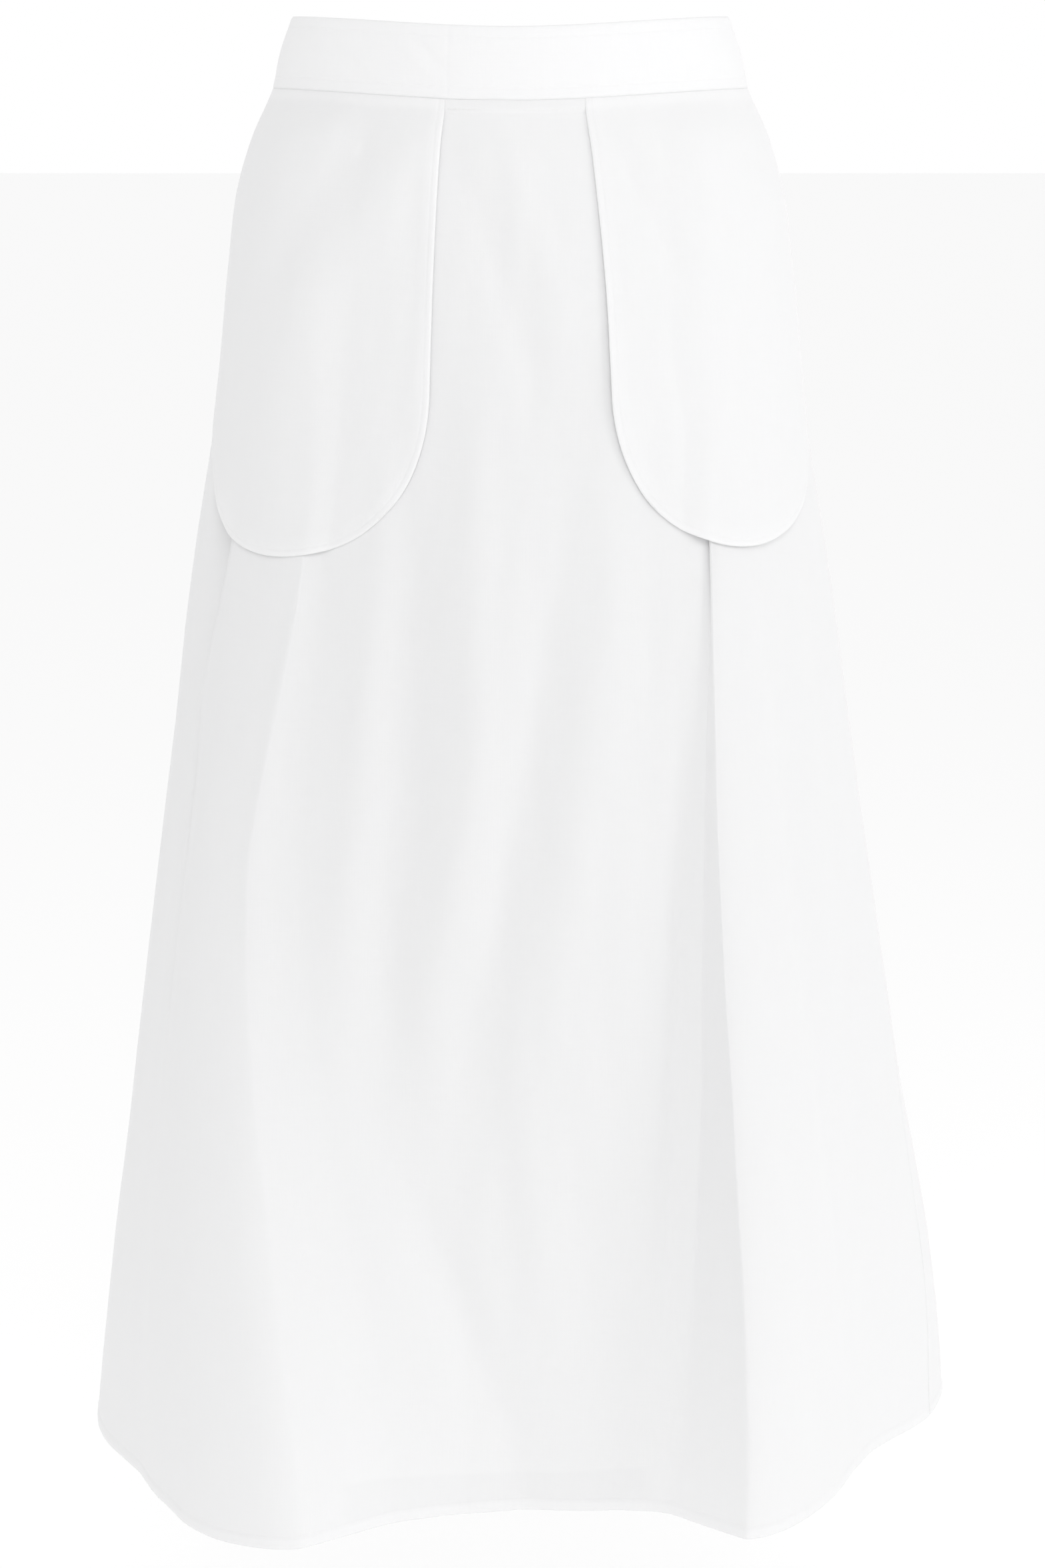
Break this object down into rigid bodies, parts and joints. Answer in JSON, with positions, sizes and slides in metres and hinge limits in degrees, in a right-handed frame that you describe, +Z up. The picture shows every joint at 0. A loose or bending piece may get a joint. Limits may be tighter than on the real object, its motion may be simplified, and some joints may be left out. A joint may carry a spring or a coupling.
{
  "type": "midi skirt",
  "caption": "White cotton midi skirt, worn and hollow, with a contoured waistband, rounded hip flaps over deep front pleats that open to a wavy hem, and a zip behind.",
  "frame": {"origin": "centre of the waist opening at half the height of the waistband's centre front, where the wearer's waist holds the skirt", "axes": "+Z up out of the waist, -Y towards the front of the skirt, +X to the right of someone who looks at the front"},
  "size_m": [0.4937, 0.3811, 0.794],
  "materials": {
    "white_cotton": "crisp plain-weave cotton, matt",
    "zip_tape": "woven tape",
    "zip_lacquer": "white lacquer, satin"
  },
  "bodies": {
    "skirt": {"skirt_front": "white_cotton", "skirt_back_left": "white_cotton", "skirt_back_right": "white_cotton", "flap_left": "white_cotton", "flap_right": "white_cotton", "waistband_front": "white_cotton", "waistband_back_left": "white_cotton", "waistband_back_right": "white_cotton", "zip_tape": "zip_tape", "zip_slider": "zip_lacquer"},
    "zip_pull": {"zip_pull": "zip_lacquer"}
  },
  "joints": [
    {"name": "zip_pull_hinge", "type": "hinge", "parent": "skirt", "child": "zip_pull", "pos_m": [0, 0.09044, 0.01107], "axis": [1, 0, 0], "range_deg": [0, 150]}
  ]
}
